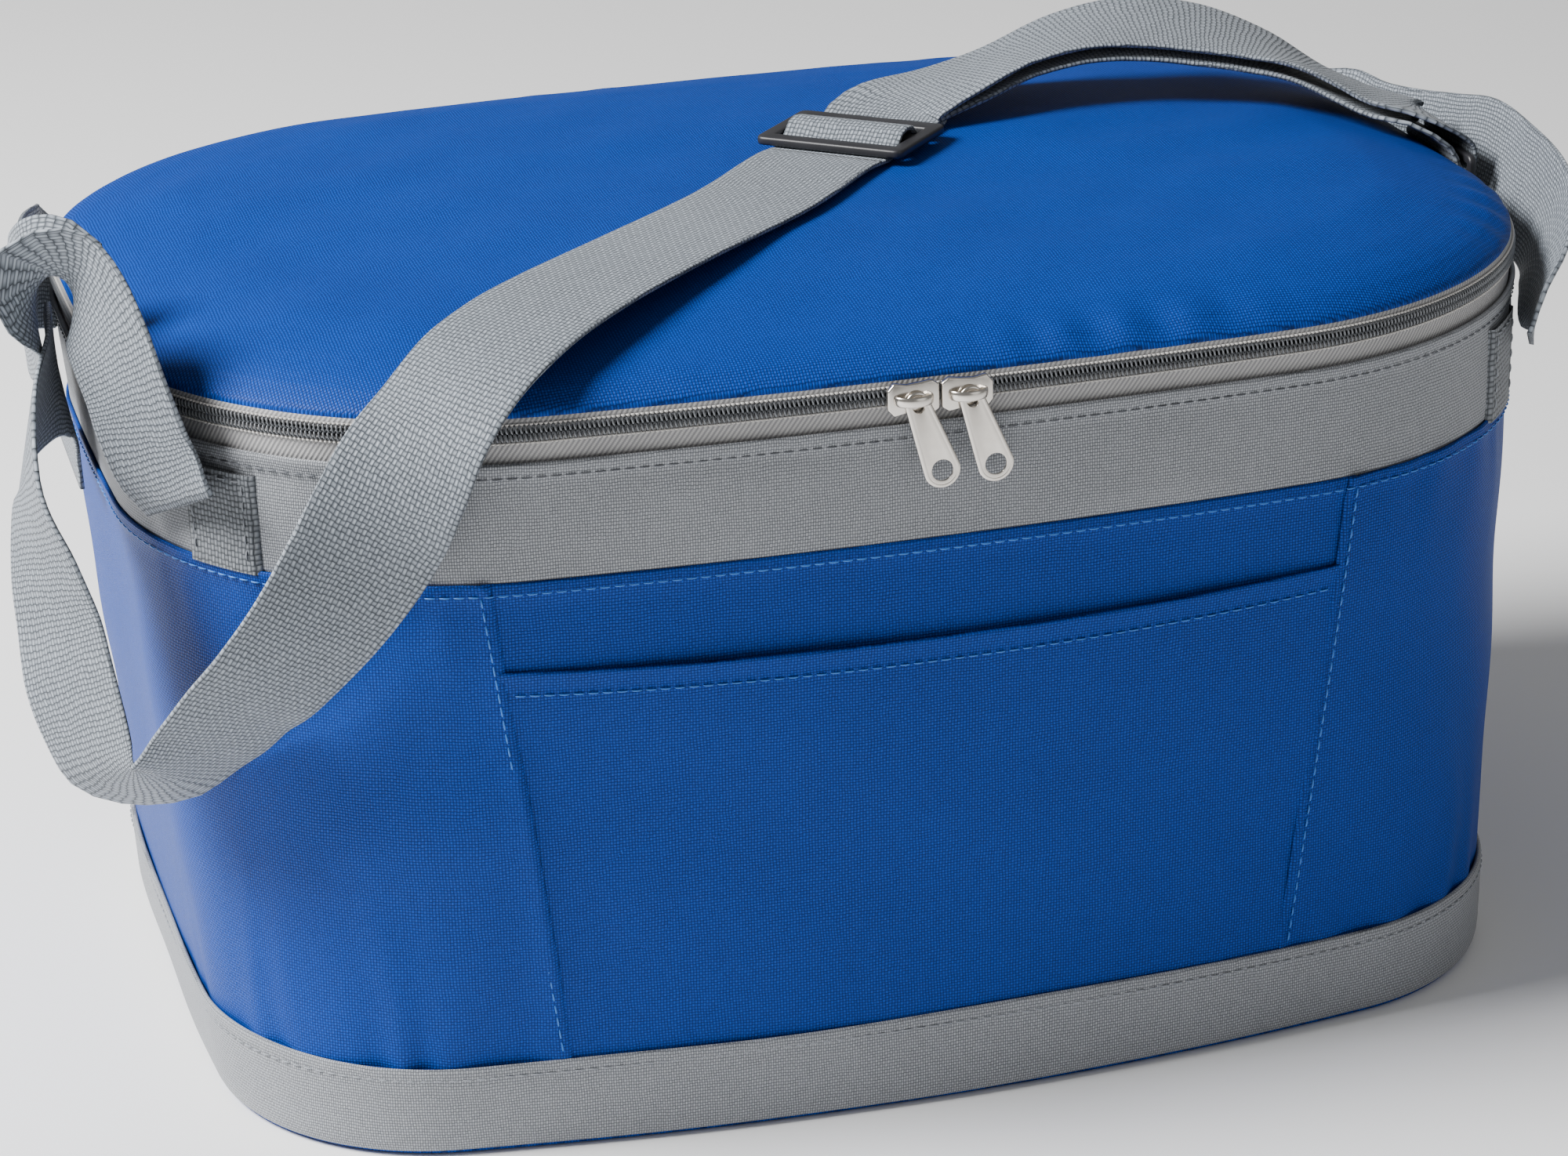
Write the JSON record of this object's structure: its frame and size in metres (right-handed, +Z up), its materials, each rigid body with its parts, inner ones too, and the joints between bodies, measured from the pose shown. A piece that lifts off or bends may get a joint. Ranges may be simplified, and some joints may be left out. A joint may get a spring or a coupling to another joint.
{
  "type": "insulated cooler bag",
  "caption": "Soft insulated cooler bag with an oval plan, a zipped domed lid, webbing grab handles, an adjustable shoulder strap and a front pocket.",
  "frame": {"origin": "middle of the underside, on the surface the bag stands on", "axes": "+X along the bag towards its right end, +Y from the front (pocket) to the back (lid hinge), +Z up"},
  "size_m": [0.4949, 0.3232, 0.2609],
  "materials": {
    "blue_polyester": "woven, slightly glossy",
    "grey_polyester": "woven",
    "foam": "matte",
    "foil_liner": "satin foil",
    "zip_tape": "twill",
    "zip_coil": "satin",
    "grey_webbing": "coarse herringbone weave",
    "black_plastic": "matte",
    "nickel": "polished nickel plate"
  },
  "bodies": {
    "bag": {"front_centre_panel": "blue_polyester", "back_panel": "blue_polyester", "side_panel_left": "blue_polyester", "side_panel_right": "blue_polyester", "front_pocket_panel": "blue_polyester", "base_panel": "blue_polyester", "upper_band": "grey_polyester", "lower_band": "grey_polyester", "hinge_strip_lower": "grey_polyester", "rim_binding": "grey_polyester", "wall_foam": "foam", "base_foam": "foam", "liner_base": "foil_liner", "liner_wall": "foil_liner", "zip_tape_lower": "zip_tape", "zip_coil_lower": "zip_coil", "left_handle_ends": "grey_webbing", "right_handle_ends": "grey_webbing", "shoulder_strap": "grey_webbing", "strap_ring_tab": "grey_webbing"},
    "lid": {"lid_cover": "blue_polyester", "lid_foam": "foam", "lid_liner": "foil_liner", "lid_binding": "grey_polyester", "zip_tape_upper": "zip_tape", "zip_coil_upper": "zip_coil", "hinge_strip_upper": "grey_polyester"},
    "zip_slider_left_body": {"zip_slider_left": "nickel"},
    "zip_slider_right_body": {"zip_slider_right": "nickel"},
    "zip_pull_left_body": {"zip_pull_left": "nickel"},
    "zip_pull_right_body": {"zip_pull_right": "nickel"},
    "adjuster": {"strap_adjuster": "black_plastic"},
    "ring": {"strap_ring": "black_plastic"},
    "left_grab_handle": {"left_handle": "grey_webbing"},
    "right_grab_handle": {"right_handle": "grey_webbing"}
  },
  "joints": [
    {"name": "lid_hinge", "type": "hinge", "parent": "bag", "child": "lid", "pos_m": [0, 0.1545, 0.2138], "axis": [-1, 0, 0], "range_deg": [0, 105], "deforming": ["shoulder_strap"]},
    {"name": "zip_travel_left", "type": "hinge", "parent": "bag", "child": "zip_slider_left_body", "pos_m": [0, 1.247, 0.2138], "axis": [0, 0, 1], "range_deg": [-3.68, 0]},
    {"name": "pull_swing_left", "type": "hinge", "parent": "zip_slider_left_body", "child": "zip_pull_left_body", "pos_m": [-0.00753, -0.15798, 0.2134], "axis": [-1, 0.0054, 0], "range_deg": [0, 150]},
    {"name": "zip_travel_right", "type": "hinge", "parent": "bag", "child": "zip_slider_right_body", "pos_m": [0, 1.247, 0.2138], "axis": [0, 0, 1], "range_deg": [0, 3.68]},
    {"name": "pull_swing_right", "type": "hinge", "parent": "zip_slider_right_body", "child": "zip_pull_right_body", "pos_m": [0.00753, -0.15798, 0.2134], "axis": [-1, -0.0054, 0], "range_deg": [0, 150]},
    {"name": "adjuster_slide", "type": "slide", "parent": "lid", "child": "adjuster", "axis": [0.6691, 0.7431, 0], "range_m": [-0.03, 0.03]},
    {"name": "ring_swing", "type": "hinge", "parent": "bag", "child": "ring", "pos_m": [0.2132, 0, 0.204], "axis": [0, 1, 0], "range_deg": [0, 25]},
    {"name": "left_handle_swing", "type": "hinge", "parent": "bag", "child": "left_grab_handle", "pos_m": [-0.209, 0, 0.192], "axis": [0, -1, 0], "range_deg": [0, 85]},
    {"name": "right_handle_swing", "type": "hinge", "parent": "bag", "child": "right_grab_handle", "pos_m": [0.209, 0, 0.192], "axis": [0, 1, 0], "range_deg": [0, 85]}
  ]
}
